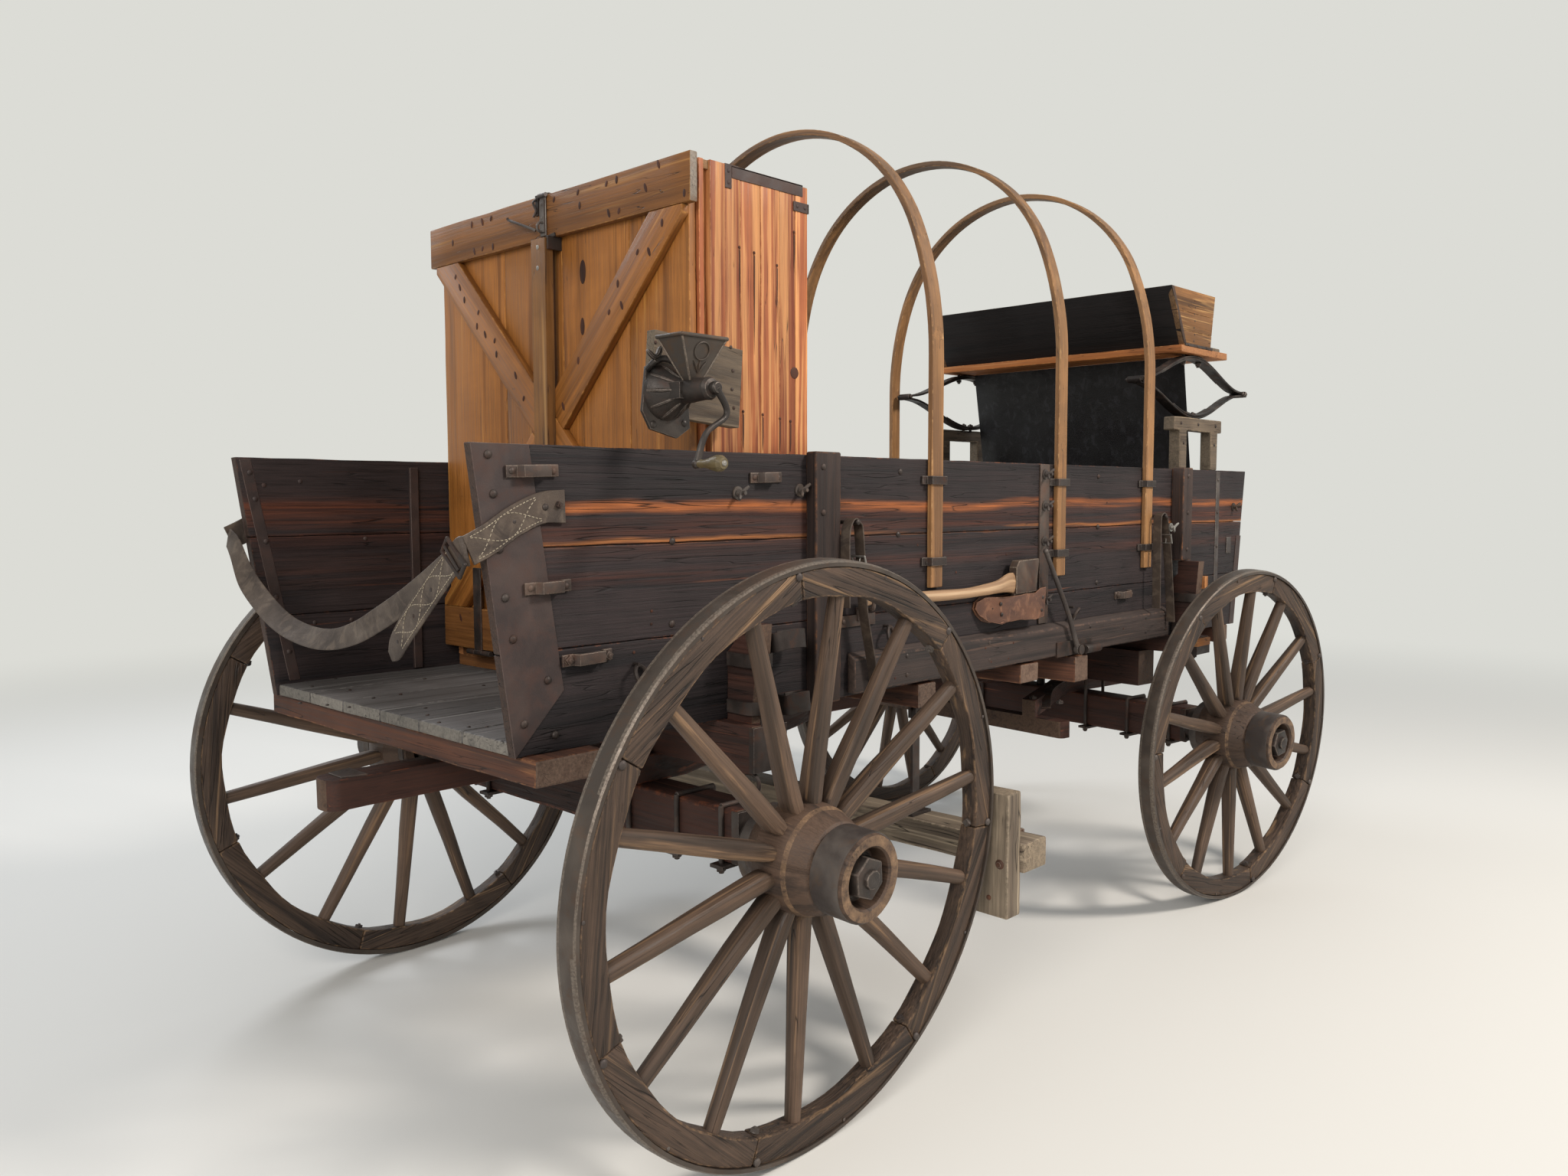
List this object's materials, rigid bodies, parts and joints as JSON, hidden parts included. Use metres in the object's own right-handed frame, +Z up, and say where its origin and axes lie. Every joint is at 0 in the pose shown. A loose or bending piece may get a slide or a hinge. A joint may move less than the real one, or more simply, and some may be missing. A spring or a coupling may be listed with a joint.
{
  "type": "covered wagon",
  "caption": "Horse-drawn covered wagon with bare bows, sprung bench, spoked iron-tyred wheels and a chuck box whose lid folds down into a table.",
  "frame": {"origin": "on the ground, on the centreline, midway between the axles", "axes": "+X forward, +Y to the wagon's left, +Z up"},
  "size_m": [3.5594, 1.9783, 2.4646],
  "materials": {
    "side_paint": "worn dark paint",
    "wheel_wood": "weathered",
    "gear_wood": "weathered",
    "floor_wood": "bare, grey",
    "sill_wood": "stained",
    "bow_wood": "bare, bent",
    "box_wood": "stained",
    "lid_wood": "stained",
    "old_wood": "grey, weathered",
    "seat_paint": "stained",
    "iron": "rusted",
    "tyre_iron": "worn",
    "leather": "old harness leather",
    "pouch_leather": "red-brown, worn",
    "oilcloth": "black",
    "handle_wood": "bare, pale",
    "block_wood": "bare, cracked"
  },
  "bodies": {
    "wagon": {"reach": "gear_wood", "rear_axle": "gear_wood", "rear_axle_arms": "iron", "rear_bolster": "gear_wood", "rear_hounds": "gear_wood", "front_bolster": "gear_wood", "king_bolt": "iron", "cross_sills": "sill_wood", "floor_boards": "floor_wood", "right_side": "side_paint", "left_side": "side_paint", "headboard": "side_paint", "side_cleats": "side_paint", "outer_boards": "side_paint", "corner_plates": "iron", "side_irons": "iron", "bow_staples": "iron", "bows": "bow_wood", "chuck_box": "box_wood", "mill_board": "old_wood", "mill_body": "iron", "seat_risers": "old_wood", "seat_springs": "iron", "seat_bench": "seat_paint", "box_hinges": "iron", "seat_apron": "oilcloth", "seat_plank": "old_wood", "brake_brackets": "iron", "side_straps": "leather", "tail_strap": "leather", "axe_handle": "handle_wood", "axe_head": "iron", "axe_holder": "pouch_leather"},
    "chuck_lid": {"lid_boards": "lid_wood", "lid_braces": "lid_wood", "lid_hinges": "iron", "leg_hinge": "iron", "lid_hasp": "iron"},
    "brake_beam": {"brake_beam": "block_wood", "brake_links": "iron"},
    "brake_lever": {"brake_lever": "iron"},
    "table_leg": {"table_leg": "lid_wood"},
    "mill_crank": {"mill_crank": "iron"},
    "front_gear": {"front_axle": "gear_wood", "front_axle_arms": "iron", "sand_board": "gear_wood", "front_hounds": "gear_wood"},
    "rear_left_wheel": {"rear_left_tyre": "tyre_iron", "rear_left_woodwork": "wheel_wood", "rear_left_hub": "wheel_wood"},
    "rear_right_wheel": {"rear_right_tyre": "tyre_iron", "rear_right_woodwork": "wheel_wood", "rear_right_hub": "wheel_wood"},
    "front_left_wheel": {"front_left_tyre": "tyre_iron", "front_left_woodwork": "wheel_wood", "front_left_hub": "wheel_wood"},
    "front_right_wheel": {"front_right_tyre": "tyre_iron", "front_right_woodwork": "wheel_wood", "front_right_hub": "wheel_wood"}
  },
  "joints": [
    {"name": "steering", "type": "hinge", "parent": "wagon", "child": "front_gear", "pos_m": [1.1245, 0, 0.8], "axis": [0, 0, 1], "range_deg": [-11.5, 24.5]},
    {"name": "chuck_lid", "type": "hinge", "parent": "wagon", "child": "chuck_lid", "pos_m": [-1.181, 0, 0.952], "axis": [0, -1, 0], "range_deg": [0, 90], "deforming": ["tail_strap"]},
    {"name": "table_leg", "type": "hinge", "parent": "chuck_lid", "child": "table_leg", "pos_m": [-1.193, -0.009, 1.968], "axis": [0, 1, 0], "range_deg": [0, 90]},
    {"name": "mill_crank", "type": "hinge", "parent": "wagon", "child": "mill_crank", "pos_m": [-1.29, -0.72, 1.58], "axis": [0, -1, 0], "continuous": true},
    {"name": "brake_lever", "type": "hinge", "parent": "wagon", "child": "brake_lever", "pos_m": [0.376, -0.583, 0.893], "axis": [0, 1, 0], "range_deg": [0, 50]},
    {"name": "brake_beam", "type": "hinge", "parent": "wagon", "child": "brake_beam", "pos_m": [-0.372, 0, 0.788], "axis": [0, 1, 0], "range_deg": [0, 3.9]},
    {"name": "rear_left_wheel", "type": "hinge", "parent": "wagon", "child": "rear_left_wheel", "pos_m": [-1.1245, 0.835, 0.62145], "axis": [0, 0.9991, -0.0419], "continuous": true},
    {"name": "rear_right_wheel", "type": "hinge", "parent": "wagon", "child": "rear_right_wheel", "pos_m": [-1.1245, -0.835, 0.62145], "axis": [0, 0.9991, 0.0419], "continuous": true},
    {"name": "front_left_wheel", "type": "hinge", "parent": "front_gear", "child": "front_left_wheel", "pos_m": [1.21903, 0.82963, 0.56151], "axis": [0.1131, 0.9927, -0.0419], "continuous": true},
    {"name": "front_right_wheel", "type": "hinge", "parent": "front_gear", "child": "front_right_wheel", "pos_m": [1.02998, -0.82963, 0.56151], "axis": [0.1131, 0.9927, 0.0419], "continuous": true}
  ],
  "couplings": [
    {"joint": "brake_beam", "follows": "brake_lever", "ratio": 0.078}
  ]
}
